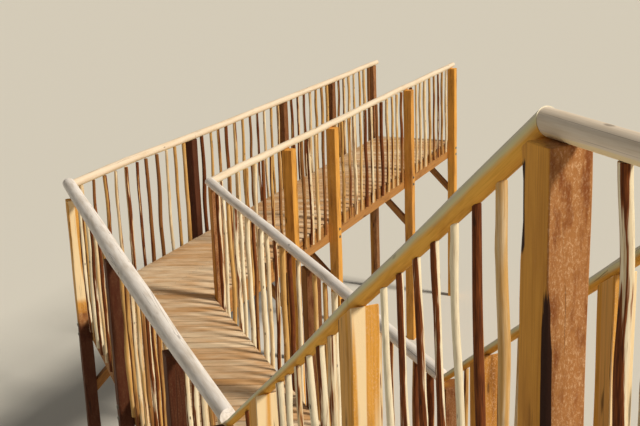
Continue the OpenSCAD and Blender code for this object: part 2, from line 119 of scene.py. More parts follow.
@dataclass(frozen=True)
class Finish:
    """A finish that reads two vectors of each mesh.

    grain is the place in the timber's own frame, in metres, with its length along Z. trait holds the
    share of bark or of a second colour, the tone, and a third value that each finish explains. Patterns
    are given by the size of a feature across and along the grain, in millimetres.
    """

    name: str

    def paint(self, tree: bpy.types.NodeTree, shader: bpy.types.Node) -> None:
        """Adds the colour, roughness and bump to the tree."""
        raise NotImplementedError

    def material(self) -> bpy.types.Material:
        """Returns the finish's material, made once.

        Returns:
            The material.
        """
        title = "dressed_" + self.name
        found = bpy.data.materials.get(title)
        if found:
            return found
        made = bpy.data.materials.new(title)
        made.use_nodes = True
        shader = made.node_tree.nodes["Principled BSDF"]
        # dry wood hardly shines
        shader.inputs["Specular IOR Level"].default_value = 0.2
        self.paint(made.node_tree, shader)
        return made

    @staticmethod
    def grain(tree: bpy.types.NodeTree, across_mm: float, along_mm: float) -> bpy.types.NodeSocket:
        """Returns the grain vector, scaled so that one unit is a feature of the given size.

        Args:
            tree: The node tree that takes it.
            across_mm: A feature's size across the grain.
            along_mm: Its size along the grain.

        Returns:
            The scaled vector.
        """
        place = add(tree, "Attribute", out="Vector", attribute_name="grain")
        per = (1 / (across_mm * MM), 1 / (across_mm * MM), 1 / (along_mm * MM))
        return add(tree, "VectorMath", [place, per], **TIMES)

    @staticmethod
    def trait(tree: bpy.types.NodeTree) -> tuple[bpy.types.NodeSocket, ...]:
        """Returns the three values of the mesh's trait."""
        found = add(tree, "Attribute", out="Vector", attribute_name="trait")
        return tuple(add(tree, "SeparateXYZ", [found]).node.outputs)

    @classmethod
    def streaks(cls, tree: bpy.types.NodeTree, across_mm: float, along_mm: float, detail: float = 2.0,
                roughness: float = 0.5) -> bpy.types.NodeSocket:
        """Returns a cloudy pattern drawn out along the grain, from 0 to 1.

        Args:
            tree: The node tree that takes it.
            across_mm: A streak's width.
            along_mm: Its length.
            detail: How many finer patterns lie on it.
            roughness: How strong they are.

        Returns:
            The pattern.
        """
        return add(tree, "TexNoise", {"Vector": cls.grain(tree, across_mm, along_mm), "Scale": 1.0,
                                      "Detail": detail, "Roughness": roughness})

    @classmethod
    def spots(cls, tree: bpy.types.NodeTree, across_mm: float, along_mm: float) -> bpy.types.NodeSocket:
        """Returns the distance to the nearest of some strewn spots, as a share of their spacing.

        Args:
            tree: The node tree that takes it.
            across_mm: Their spacing across the grain.
            along_mm: Their spacing along the grain.

        Returns:
            The distance.
        """
        return add(tree, "TexVoronoi", {"Vector": cls.grain(tree, across_mm, along_mm), "Scale": 1.0,
                                        "Randomness": 1.0})

    @classmethod
    def checks(cls, tree: bpy.types.NodeTree, size_mm: tuple[float, float], edge: float,
               patch_mm: tuple[float, float], few: float) -> bpy.types.NodeSocket:
        """Returns the share of drying cracks.

        Args:
            tree: The node tree that takes them.
            size_mm: Their spacing across and along the grain.
            edge: How far a crack's edge reaches, as a share of the spacing.
            patch_mm: The size of the patches that they keep to.
            few: The level of the patches from which they show.

        Returns:
            The share, from 0 on sound wood to 1 in a crack.
        """
        crack = add(tree, "TexVoronoi", {"Vector": cls.grain(tree, *size_mm), "Scale": 1.0},
                    feature="DISTANCE_TO_EDGE")
        split = add(tree, "MapRange", [crack, 0.006, edge, 1.0, 0.0], **SMOOTH)
        some = add(tree, "MapRange", [cls.streaks(tree, *patch_mm, 1), few, few + 0.08, 0.0, 1.0], **SMOOTH)
        return add(tree, "Math", [split, some], **TIMES)

    @staticmethod
    def lay(tree: bpy.types.NodeTree, wood: Colour, colour: Colour, *shares: Number) -> bpy.types.NodeSocket:
        """Lays a colour over the wood.

        Args:
            tree: The node tree that takes it.
            wood: The colour below, a hex code or a socket.
            colour: The colour on top, a hex code or a socket.
            shares: The factors whose product is the share of the colour on top.

        Returns:
            The new colour.
        """
        share = shares[0]
        for factor in shares[1:]:
            share = add(tree, "Math", [share, factor], **TIMES)
        below, above = (linear(c) if isinstance(c, str) else c for c in (wood, colour))
        return add(tree, "Mix", {0: share, 6: below, 7: above}, **COLOUR)

    @classmethod
    def stain(cls, tree: bpy.types.NodeTree, wood: Colour, colour: Colour, pattern: bpy.types.NodeSocket,
              low: Number, high: Number, least: float = 0.0, most: float = 1.0) -> bpy.types.NodeSocket:
        """Lays a colour over the wood where a pattern runs high.

        Args:
            tree: The node tree that takes it.
            wood: The colour below, a hex code or a socket.
            colour: The colour on top, a hex code or a socket.
            pattern: The pattern that it follows.
            low: The pattern's level at which the colour has its least share.
            high: The level at which it has its greatest share.
            least: The least share.
            most: The greatest share.

        Returns:
            The new colour.
        """
        return cls.lay(tree, wood, colour, add(tree, "MapRange", [pattern, low, high, least, most], **SMOOTH))

    @staticmethod
    def close(tree: bpy.types.NodeTree, shader: bpy.types.Node, wood: bpy.types.NodeSocket,
              dull: tuple[bpy.types.NodeSocket, float, float, float, float], relief: bpy.types.NodeSocket,
              depth_mm: float, strength: float = 0.5) -> None:
        """Links the colour, the roughness and the relief to the shader.

        Args:
            tree: The node tree that takes them.
            shader: The shader.
            wood: The colour.
            dull: The pattern that the roughness follows, its two levels, and the roughness at each.
            relief: The height of the surface, in units of its depth.
            depth_mm: The depth of the relief.
            strength: How much of the relief shows.
        """
        rough = add(tree, "MapRange", list(dull), **SMOOTH)
        bump = add(tree, "Bump", {"Strength": strength, "Distance": depth_mm * MM, "Height": relief})
        for name, socket in (("Base Color", wood), ("Roughness", rough), ("Normal", bump)):
            tree.links.new(socket, shader.inputs[name])


@dataclass(frozen=True)
class PeeledPole(Finish):
    """Chestnut coppice pole, stripped by hand: cream sapwood with brown strips of bark left on.

    The trait's third value tells how squarely the surface faces the side that keeps its bark. On the left
    panels that side is turned away from the lamp, so the dark bark strips there are partly painted shade.
    """

    name: str = "peeled_pole"
    cream: str = "F5EACC"
    honey: str = "D2A662"
    russet: str = "87592F"
    bark: str = "4C2613"
    inner_bark: str = "8A4C22"
    knot: str = "3D2416"

    def paint(self, tree: bpy.types.NodeTree, shader: bpy.types.Node) -> None:
        """Adds the sapwood, the bark strips and the knots.

        Args:
            tree: The material's node tree.
            shader: Its shader.
        """
        bark, tone, facing = self.trait(tree)
        # fibres 3 mm wide and 70 mm long, coarser than real ones, so that they show
        fibre = self.streaks(tree, 3, 70, 3, 0.6)
        # streaks 10 mm wide that run most of the pole's length, and clouds as wide as the pole
        streak = add(tree, "Math", [self.streaks(tree, 10, 460, 3, 0.6), 0.9], **TIMES)
        cloud = add(tree, "Math", [self.streaks(tree, 32, 210, 3, 0.55), 0.7], **TIMES)
        # each pole has its own tone, from fresh cream through honey to russet
        age = add(tree, "Math", [add(tree, "Math", [streak, cloud], **PLUS),
                                 add(tree, "Math", [tone, 0.8], **MINUS)], **PLUS)
        wood = self.stain(tree, self.cream, self.honey, age, 0.15, 0.7)
        wood = self.stain(tree, wood, self.russet, age, 0.75, 1.2)
        wood = self.stain(tree, wood, self.russet, fibre, 0.45, 0.8, 0.0, 0.45)
        # strips of bark some 18 mm wide and 400 mm long, most of them left on the side that keeps its bark; on
        # the left panels that side is the shaded one, so these strips are partly painted shade
        strip = self.streaks(tree, 18, 400, 4, 0.55)
        kept = add(tree, "Math", [bark, add(tree, "Math", [facing, 0.17], **TIMES)], **PLUS)
        left_on = add(tree, "Math", [add(tree, "Math", [strip, kept], **PLUS), 1.0], **MINUS)
        skin = add(tree, "MapRange", [left_on, -0.01, 0.035, 0.0, 1.0], **SMOOTH)
        wood = self.stain(tree, wood, self.inner_bark, left_on, -0.06, 0.0)
        wood = self.lay(tree, wood, self.stain(tree, self.bark, self.inner_bark, fibre, 0.3, 0.75), skin)
        # knots 8 mm across, some 110 mm apart
        knot = add(tree, "MapRange", [self.spots(tree, 42, 110), 0.08, 0.14, 1.0, 0.0], **SMOOTH)
        wood = self.lay(tree, wood, self.knot, knot, 0.8)
        # bark stands higher than peeled wood
        relief = add(tree, "Math", [add(tree, "Math", [skin, 0.8], **TIMES),
                                    add(tree, "Math", [fibre, 0.35], **TIMES)], **PLUS)
        self.close(tree, shader, wood, (skin, 0.0, 1.0, 0.55, 0.85), relief, 1.6, 0.55)


@dataclass(frozen=True)
class PeeledLog(Finish):
    """Peeled handrail log: its top has weathered to a pale grey, its underside is still warm.

    The trait's first value is the share of tan in the pale wood. Its third is the height of the surface's
    outward direction, from -1 below to 1 on top. On the logs of a deep tone the golden underside is partly
    unweathered wood and partly painted bounce light, and a green band beside the pale crest is painted green
    skylight.
    """

    name: str = "peeled_log"
    top: str = "F6EFEA"
    grey: str = "CEC1B2"
    green_skylight: str = "E0D8A6"
    tan: str = "DBBF94"
    side: str = "F0DDB4"
    bounce_lit_under: str = "EFB54E"
    under_deep: str = "C07E24"
    knot: str = "4B3628"

    def paint(self, tree: bpy.types.NodeTree, shader: bpy.types.Node) -> None:
        """Adds the weathered top, the warm underside, the painted bounce light and painted green skylight of
        the deep-toned logs, the knots and the drying cracks.

        Args:
            tree: The material's node tree.
            shader: Its shader.
        """
        tanned, tone, weather = self.trait(tree)
        # fibres 4 mm wide and 120 mm long, coarser than real ones, so that they show
        fibre = self.streaks(tree, 4, 120, 3, 0.6)
        cloud = self.streaks(tree, 34, 300, 3, 0.6)
        # only logs of a deep tone are golden, and the gold reaches up to the middle of their sides; the gold is
        # partly unweathered wood and partly painted bounce light
        painted_light_share = add(tree, "MapRange", [tone, 0.7, 1.0, 0.0, 1.0], **SMOOTH)
        reach = add(tree, "Math", [weather, add(tree, "Math", [cloud, 0.5], **TIMES)], **PLUS)
        first = add(tree, "MapRange", [tone, 0.7, 1.0, -0.32, -0.1], **SMOOTH)
        last = add(tree, "MapRange", [tone, 0.7, 1.0, -0.14, 0.42], **SMOOTH)
        warm = self.stain(tree, self.bounce_lit_under, self.under_deep, cloud, 0.45, 0.8)
        warm = self.stain(tree, warm, self.under_deep, fibre, 0.4, 0.75, 0.0, 0.35)
        warm = self.lay(tree, self.side, warm, painted_light_share)
        pale = self.stain(tree, self.top, self.grey, cloud, 0.4, 0.75, 0.0, 0.8)
        pale = self.stain(tree, pale, self.grey, fibre, 0.45, 0.8, 0.0, 0.5)
        pale = self.lay(tree, pale, self.tan, tanned)
        # painted green skylight: the golden logs are painted a light green beside their pale crest
        green_skylight_share = add(tree, "MapRange", [weather, 0.1, 0.6, 0.95, 0.4], **SMOOTH)
        pale = self.lay(tree, pale, self.green_skylight, painted_light_share, green_skylight_share)
        wood = self.stain(tree, warm, pale, reach, first, last)
        # knots 12 mm across where small branches were trimmed, some 200 mm apart, half of them faint
        knot = add(tree, "MapRange", [self.spots(tree, 80, 200), 0.05, 0.11, 1.0, 0.0], **SMOOTH)
        strong = add(tree, "MapRange", [self.streaks(tree, 150, 400, 0), 0.45, 0.6, 0.1, 0.55], **SMOOTH)
        wood = self.lay(tree, wood, self.knot, knot, strong)
        # few drying cracks, a millimetre or two wide and up to half a metre long
        split = self.checks(tree, (36, 1400), 0.022, (50, 500), 0.55)
        wood = self.lay(tree, wood, self.knot, split, 0.5)
        relief = add(tree, "Math", [add(tree, "Math", [fibre, 0.4], **TIMES), split], **MINUS)
        self.close(tree, shader, wood, (fibre, 0.2, 0.8, 0.6, 0.8), relief, 1.5)


@dataclass(frozen=True)
class SawnTimber(Finish):
    """Rough sawn timber, oiled: orange-brown heartwood with saw marks, and bark left on a waney corner.

    The trait's third value tells how rough the face was sawn. A tone below 0 is fresh cut, with cream rough
    faces that are partly painted sunlight on the posts given one by one, from 0.5 up the rough faces are torn,
    and from 0.9 up the timber is darkened with painted shade.
    """

    name: str = "sawn_post"
    fresh: str = "FBE4B8"
    light: str = "E3A547"
    heart: str = "A86A26"
    stain_and_shade: str = "41180A"
    torn: str = "AB7546"
    torn_deep: str = "7A4020"
    fleck: str = "EBC49A"
    bark: str = "2E160C"

    def paint(self, tree: bpy.types.NodeTree, shader: bpy.types.Node) -> None:
        """Adds the heartwood, the saw marks, the flecks, the knots, the checks and the waney bark.

        Args:
            tree: The material's node tree.
            shader: Its shader.
        """
        bark, tone, rough = self.trait(tree)
        # growth rings cut lengthwise, as bands some 9 mm wide
        ring = self.streaks(tree, 9, 420, 3, 0.6)
        cloud = self.streaks(tree, 60, 340, 3, 0.6)
        # the smoother faces are lighter
        drawn = add(tree, "MapRange", [rough, 0.0, 0.6, 0.2, 0.7], **SMOOTH)
        deep = add(tree, "Math", [add(tree, "Math", [cloud, 0.8], **TIMES),
                                  add(tree, "Math", [tone, drawn], **TIMES)], **PLUS)
        wood = self.stain(tree, self.light, self.heart, deep, 0.3, 1.0)
        wood = self.stain(tree, wood, self.heart, ring, 0.42, 0.72, 0.0, 0.5)
        wood = self.stain(tree, wood, self.stain_and_shade, cloud, 0.55, 0.85, 0.0, 0.6)
        # fresh cut posts are cream on their rough faces, but for an orange streak; on the posts given one by
        # one the roughest face looks to -Y and the lamp, so there the cream is partly painted sunlight
        streak = add(tree, "MapRange", [self.streaks(tree, 45, 1600, 1), 0.5, 0.58, 1.0, 0.0], **SMOOTH)
        cut = add(tree, "MapRange", [tone, -0.4, 0.0, 0.92, 0.0], **SMOOTH)
        rough_and_sunlit = add(tree, "MapRange", [rough, 0.1, 0.5, 0.15, 1.0], **SMOOTH)
        new = add(tree, "Math", [add(tree, "Math", [cut, streak], **TIMES), rough_and_sunlit], **TIMES)
        wood = self.lay(tree, wood, self.fresh, new)
        # torn faces are pinkish brown, with darker patches
        patch = self.streaks(tree, 26, 110, 3, 0.6)
        old = add(tree, "MapRange", [tone, 0.5, 0.6, 0.0, 1.0], **SMOOTH)
        worn = add(tree, "MapRange", [rough, 0.3, 1.0, 0.0, 0.85], **SMOOTH)
        wood = self.lay(tree, wood, self.stain(tree, self.torn, self.torn_deep, patch, 0.46, 0.7), old, worn)
        # painted shade: from a tone of 0.9 up the post is darkened almost to the darkest stain colour
        painted_shade = add(tree, "MapRange", [tone, 0.9, 1.4, 0.0, 0.93], **SMOOTH)
        wood = self.lay(tree, wood, self.stain_and_shade, painted_shade)
        # torn fibres stand pale on the rough faces, in patches. They are 5 mm across, coarser than
        # real ones, so that they show
        torn = self.streaks(tree, 5, 9, 4, 0.8)
        # the pale flecks are fewer under the painted shade and on the fresh cream
        dry = add(tree, "MapRange", [add(tree, "Math", [painted_shade, new], **PLUS), 0.0, 0.9, 0.8, 0.1], **SMOOTH)
        gathered = add(tree, "MapRange", [patch, 0.35, 0.65, 1.0, 0.4], **SMOOTH)
        fleck = add(tree, "MapRange", [torn, 0.46, 0.72, 0.0, 1.0], **SMOOTH)
        wood = self.lay(tree, wood, self.fleck, fleck, rough, dry, gathered)
        # knots 15 mm across, some 350 mm apart, with a darker ring of wood round them
        spot = self.spots(tree, 75, 350)
        shown = add(tree, "MapRange", [self.streaks(tree, 190, 800, 0), 0.45, 0.6, 0.0, 1.0], **SMOOTH)
        for colour, inner, outer, most in ((self.stain_and_shade, 0.06, 0.24, 0.4), (self.bark, 0.07, 0.11, 0.85)):
            knot = add(tree, "MapRange", [spot, inner, outer, most, 0.0], **SMOOTH)
            wood = self.lay(tree, wood, colour, knot, shown)
        # checks a millimetre or two wide, opened by drying
        split = self.checks(tree, (40, 1700), 0.024, (55, 420), 0.54)
        wood = self.lay(tree, wood, self.bark, split, 0.7)
        waney = add(tree, "Math", [bark, add(tree, "Math", [ring, 0.5], **TIMES)], **PLUS)
        wood = self.stain(tree, wood, self.bark, waney, 0.6, 0.72)
        # the saw leaves marks across the grain every 4 mm
        marks = add(tree, "Math", [self.streaks(tree, 90, 4), 0.35], **TIMES)
        ragged = add(tree, "Math", [add(tree, "Math", [torn, rough], **TIMES), 0.9], **TIMES)
        relief = add(tree, "Math", [add(tree, "Math", [ragged, marks], **PLUS), split], **MINUS)
        self.close(tree, shader, wood, (torn, 0.2, 0.8, 0.6, 0.85), relief, 1.5)


@dataclass(frozen=True)
class DeckBoard(Finish):
    """Sawn deck board, walked on: tan and dusty, with its grain raised by rain.

    The trait's first value runs from 0 on top to 1 at the lower edges, which are darker. The third is
    left at 0.
    """

    name: str = "deck_board"
    dust: str = "F6E0C0"
    tan: str = "D0A06C"
    dark: str = "80592F"

    def paint(self, tree: bpy.types.NodeTree, shader: bpy.types.Node) -> None:
        """Adds the grain bands, the dust and the darker edges.

        Args:
            tree: The material's node tree.
            shader: Its shader.
        """
        edge, tone, _ = self.trait(tree)
        # growth rings cut lengthwise, as bands some 8 mm wide
        ring = self.streaks(tree, 8, 300, 4, 0.6)
        cloud = self.streaks(tree, 120, 260, 3, 0.6)
        age = add(tree, "Math", [cloud, tone], **PLUS)
        wood = self.stain(tree, self.dust, self.tan, age, 0.5, 1.4)
        wood = self.stain(tree, wood, self.dark, ring, 0.45, 0.75, 0.0, 0.55)
        wood = self.lay(tree, wood, self.dark, edge, 0.9)
        self.close(tree, shader, wood, (ring, 0.2, 0.8, 0.6, 0.8), ring, 1.2)


@dataclass(frozen=True)
class ZincPlate(Finish):
    """Zinc-plated steel of nails and bolt heads, gone dull outdoors."""

    name: str = "zinc_plate"
    bright: str = "9B9A94"
    dull: str = "5F5C56"

    def paint(self, tree: bpy.types.NodeTree, shader: bpy.types.Node) -> None:
        """Adds the dull patches of the plating.

        Args:
            tree: The material's node tree.
            shader: Its shader.
        """
        colour = self.stain(tree, self.bright, self.dull, self.streaks(tree, 4, 4), 0.35, 0.65)
        tree.links.new(colour, shader.inputs["Base Color"])
        for name, value in (("Metallic", 1.0), ("Specular IOR Level", 0.5), ("Roughness", 0.5)):
            shader.inputs[name].default_value = value


# --- Meshes ---------------------------------------------------------------------------------------

@dataclass
class Mesh:
    """Points and faces of one piece, with the values that its finish reads."""

    points: list[tuple[float, float, float]] = field(default_factory=list)
    faces: list[tuple[int, ...]] = field(default_factory=list)
    grain: list[tuple[float, float, float]] = field(default_factory=list)
    trait: list[tuple[float, float, float]] = field(default_factory=list)

    def take(self, points: np.ndarray, faces: list[tuple[int, ...]], grain: np.ndarray,
             trait: np.ndarray) -> None:
        """Takes in another shape.

        Args:
            points: Its points.
            faces: Its faces, counted from its own first point.
            grain: Each point's place in the timber's own frame.
            trait: Each point's three values for the finish.
        """
        start = len(self.points)
        self.points.extend(map(tuple, points.tolist()))
        self.faces.extend(tuple(start + i for i in face) for face in faces)
        self.grain.extend(map(tuple, grain.tolist()))
        self.trait.extend(map(tuple, trait.tolist()))

    def plug(self, foot: np.ndarray, crown: np.ndarray) -> None:
        """Takes in a plug with sides between two rings and a flat crown.

        Args:
            foot: The lower ring of points.
            crown: The upper ring.
        """
        n = len(foot)
        points = np.concatenate([foot, crown])
        self.take(points, band(1, n) + [tuple(range(n, 2 * n))], points.copy(), np.zeros_like(points))

    def piece(self, name: str, finish: Finish, slot: str, sharp_deg: float,
              replaces: tuple[str, ...] = ()) -> bpy.types.Object:
        """Makes the piece and lays it on the frame.

        Args:
            name: The piece's name.
            finish: Its finish.
            slot: Not used.
            sharp_deg: Edges sharper than this stay crisp.
            replaces: The nodes that it stands for.

        Returns:
            The new object.
        """
        mesh = bpy.data.meshes.new(name)
        mesh.from_pydata(self.points, [], self.faces)
        return settle(mesh, self.grain, self.trait, name, finish, sharp_deg, replaces)


def band(rings: int, n: int) -> list[tuple[int, ...]]:
    """Returns the faces that join each ring of n points to the next one."""
    return [(j * n + i, j * n + (i + 1) % n, (j + 1) * n + (i + 1) % n, (j + 1) * n + i)
            for j in range(rings) for i in range(n)]


def settle(mesh: bpy.types.Mesh, grain: list | np.ndarray, trait: list | np.ndarray, name: str,
           finish: Finish, sharp_deg: float, replaces: tuple[str, ...]) -> bpy.types.Object:
    """Makes an object of a mesh, finishes it and lays it on the frame.

    Args:
        mesh: The mesh.
        grain: Each point's place in the timber's own frame.
        trait: Each point's three values for the finish.
        name: The piece's name.
        finish: Its finish.
        sharp_deg: Edges sharper than this stay crisp.
        replaces: The nodes that it stands for.

    Returns:
        The new object.
    """
    for title, values in (("grain", grain), ("trait", trait)):
        layer = mesh.attributes.new(title, "FLOAT_VECTOR", "POINT")
        layer.data.foreach_set("vector", np.asarray(values, dtype=np.float32).ravel())
    mesh.polygons.foreach_set("use_smooth", [True] * len(mesh.polygons))
    mesh.set_sharp_from_angle(angle=math.radians(sharp_deg))
    mesh.materials.clear()
    mesh.materials.append(finish.material())
    piece = bpy.data.objects.new(name, mesh)
    bpy.context.collection.objects.link(piece)
    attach(piece, "root")
    if replaces:
        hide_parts(*replaces)
    log.info("%s: %d faces", name, len(mesh.polygons))
    return piece


def nodes_of(kind: str | tuple[str, ...]) -> list[str]:
    """Returns the frame's nodes whose names start so, in order."""
    return sorted(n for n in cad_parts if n.startswith(kind))


def welded(node: str) -> bmesh.types.BMesh:
    """Returns a copy of a node's shape with its doubled points welded.

    Args:
        node: The frame's node.

    Returns:
        The shape, to be freed after its use.
    """
    shape = bmesh.new()
    shape.from_mesh(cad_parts[node].data)
    bmesh.ops.remove_doubles(shape, verts=shape.verts, dist=1e-5)
    return shape


def islands(shape: bmesh.types.BMesh) -> list[list[bmesh.types.BMVert]]:
    """Returns the points of each loose solid of a shape.

    Args:
        shape: The shape.

    Returns:
        A list of points for each solid.
    """
    seen: set = set()
    found = []
    for first in shape.verts:
        if first in seen:
            continue
        seen.add(first)
        group, waiting = [], [first]
        while waiting:
            vert = waiting.pop()
            group.append(vert)
            for edge in vert.link_edges:
                other = edge.other_vert(vert)
                if other not in seen:
                    seen.add(other)
                    waiting.append(other)
        found.append(group)
    return found


def solids(node: str) -> list[np.ndarray]:
    """Returns the welded points of each loose solid of a node.

    Args:
        node: The frame's node.

    Returns:
        An array of points for each solid.
    """
    shape = welded(node)
    found = [np.array([tuple(v.co) for v in group]) for group in islands(shape)]
    shape.free()
    return found


def long_axis(points: np.ndarray) -> np.ndarray:
    """Returns the direction in which a solid is longest, along the positive side of its main axis."""
    axis = np.linalg.svd(points - points.mean(axis=0))[2][0]
    return axis if axis[int(np.argmax(np.abs(axis)))] > 0 else -axis


# --- Outlines in plan -----------------------------------------------------------------------------

def cross(a: np.ndarray, b: np.ndarray) -> float:
    """Returns the cross product of two vectors in plan."""
    return float(a[0] * b[1] - a[1] * b[0])


def flat_hull(points: np.ndarray) -> np.ndarray:
    """Returns the convex outline of points in plan, anticlockwise.

    Args:
        points: The points, of which the height is left out.

    Returns:
        The outline.
    """
    rows = sorted({(round(float(p[0]), 6), round(float(p[1]), 6)) for p in points})

    def half(run: list) -> list:
        """Returns the chain of the hull along a run.

        Args:
            run: Places in plan, in order.

        Returns:
            The chain, without its last place.
        """
        chain: list = []
        for p in map(np.array, run):
            while len(chain) > 1 and cross(chain[-1] - chain[-2], p - chain[-2]) <= 1e-9:
                chain.pop()
            chain.append(p)
        return chain[:-1]

    return np.array(half(rows) + half(rows[::-1]))


def area(outline: np.ndarray) -> float:
    """Returns an outline's area, positive where it runs anticlockwise."""
    after = np.roll(outline, -1, axis=0)
    return float(np.sum(outline[:, 0] * after[:, 1] - outline[:, 1] * after[:, 0]) / 2)


def clip(shape: np.ndarray, outline: np.ndarray, weld: float = 0.002, least: float = 0.004) -> np.ndarray:
    """Cuts a convex shape to a convex outline.

    Args:
        shape: The shape.
        outline: The outline, anticlockwise.
        weld: Corners closer than this become one.
        least: A smaller rest, in square metres, is dropped.

    Returns:
        What is left of the shape, or no points.
    """
    kept = [p for p in shape]
    if area(shape) < 0:
        kept = kept[::-1]
    for a, b in zip(outline, np.roll(outline, -1, axis=0)):
        side = [cross(b - a, p - a) for p in kept]
        fresh = []
        for i, p in enumerate(kept):
            j = (i + 1) % len(kept)
            if side[i] >= 0:
                fresh.append(p)
            if side[i] * side[j] < 0:
                fresh.append(p + (kept[j] - p) * side[i] / (side[i] - side[j]))
        kept = fresh
        if len(kept) < 3:
            return np.zeros((0, 2))
    neat = np.array([p for i, p in enumerate(kept) if np.linalg.norm(p - kept[i - 1]) > weld])
    return neat if len(neat) > 2 and area(neat) > least else np.zeros((0, 2))


def shrink(outline: np.ndarray, inset: float) -> np.ndarray:
    """Returns a convex anticlockwise outline, moved inwards.

    Args:
        outline: The outline.
        inset: How far each side moves.

    Returns:
        The smaller outline, with as many corners.
    """
    fresh = []
    for before, here, after in zip(np.roll(outline, 1, axis=0), outline, np.roll(outline, -1, axis=0)):
        one = (here - before) / np.linalg.norm(here - before)
        two = (after - here) / np.linalg.norm(after - here)
        turn = max(0.2, 1 + float(one @ two))
        fresh.append(here + (np.array([-one[1], one[0]]) + np.array([-two[1], two[0]])) * inset / turn)
    return np.array(fresh)


def inside(place: np.ndarray, outline: np.ndarray) -> bool:
    """Returns whether a place lies inside a convex anticlockwise outline."""
    return all(cross(b - a, place - a) > 0 for a, b in zip(outline, np.roll(outline, -1, axis=0)))


# --- Logs and poles -------------------------------------------------------------------------------

@dataclass
class Limb:
    """A round solid of the frame, read back as rings along its length."""

    centres: np.ndarray
    radii: np.ndarray
    start: tuple[np.ndarray, np.ndarray]
    end: tuple[np.ndarray, np.ndarray]

    @classmethod
    def read(cls, points: np.ndarray, sides: int) -> "Limb":
        """Reads the rings of a solid.

        Args:
            points: The solid's points, a whole number of rings.
            sides: How many points each ring has.

        Returns:
            The limb, from its lower or nearer end to the other.
        """
        axis = long_axis(points)
        rings = points[np.argsort((points - points.mean(axis=0)) @ axis)].reshape(-1, sides, 3)
        centres = rings.mean(axis=1)
        radii = []
        for k, ring in enumerate(rings):
            way = centres[min(k + 1, len(rings) - 1)] - centres[max(k - 1, 0)]
            way = way / np.linalg.norm(way)
            out = ring - centres[k]
            radii.append(np.linalg.norm(out - np.outer(out @ way, way), axis=1).mean())
        planes = []
        for k in (0, -1):
            normal = np.linalg.svd(rings[k] - centres[k])[2][2]
            planes.append((centres[k], normal if normal @ axis > 0 else -normal))
        return cls(centres, np.array(radii), planes[0], planes[1])


